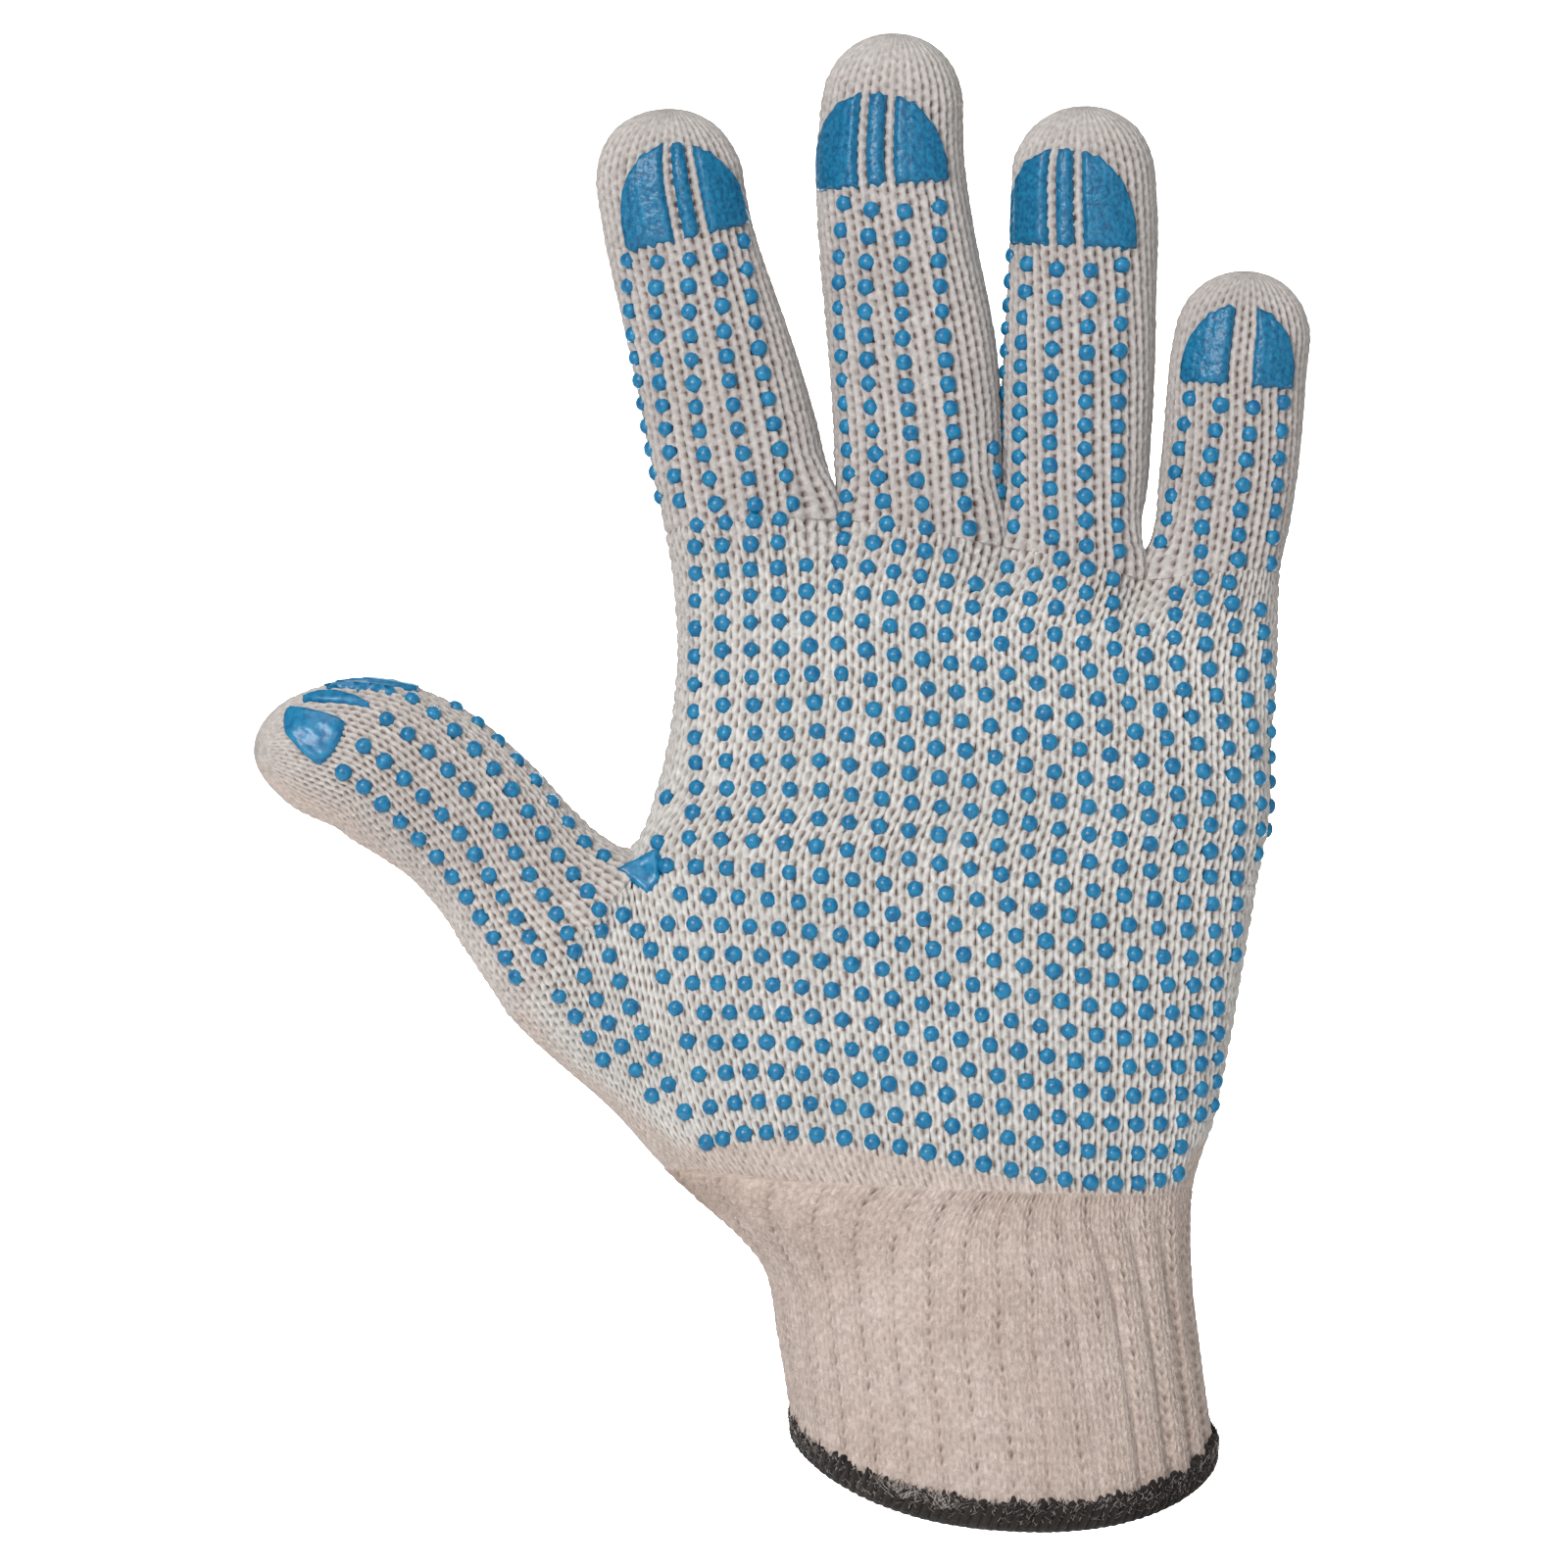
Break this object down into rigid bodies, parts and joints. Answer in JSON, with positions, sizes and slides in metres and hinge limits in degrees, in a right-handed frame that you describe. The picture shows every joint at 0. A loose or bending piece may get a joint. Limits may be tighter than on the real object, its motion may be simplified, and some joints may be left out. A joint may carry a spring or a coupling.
{
  "type": "cotton work glove",
  "caption": "Left-hand knitted cotton work glove, off-white, with raised blue PVC dots and fingertip patches on the palm side, a ribbed cuff and a dark overlocked hem.",
  "frame": {"origin": "middle of the wrist opening, level with the lowest point of the hem", "axes": "+Z from the hem towards the fingertips, -Y out of the palm, -X towards the thumb"},
  "size_m": [0.1683, 0.046, 0.2351],
  "materials": {
    "cotton_knit": "matt knitted yarn",
    "cotton_rib": "matt ribbed knit",
    "blue_pvc": "satin moulded PVC",
    "overlock_yarn": "matt overlock yarn"
  },
  "bodies": {
    "root": {"palm_shell": "cotton_knit", "heel_shell": "cotton_knit", "rib_cuff": "cotton_rib", "hem_binding": "overlock_yarn", "index_stall": "cotton_knit", "middle_stall": "cotton_knit", "ring_stall": "cotton_knit", "little_stall": "cotton_knit", "thumb_stall": "cotton_knit", "index_patch_left": "blue_pvc", "index_patch_centre": "blue_pvc", "index_patch_right": "blue_pvc", "middle_patch_left": "blue_pvc", "middle_patch_centre": "blue_pvc", "middle_patch_right": "blue_pvc", "ring_patch_left": "blue_pvc", "ring_patch_centre": "blue_pvc", "ring_patch_right": "blue_pvc", "thumb_patch_left": "blue_pvc", "thumb_patch_centre": "blue_pvc", "thumb_patch_right": "blue_pvc", "little_patch_left": "blue_pvc", "little_patch_right": "blue_pvc", "web_patch": "blue_pvc"}
  },
  "joints": []
}
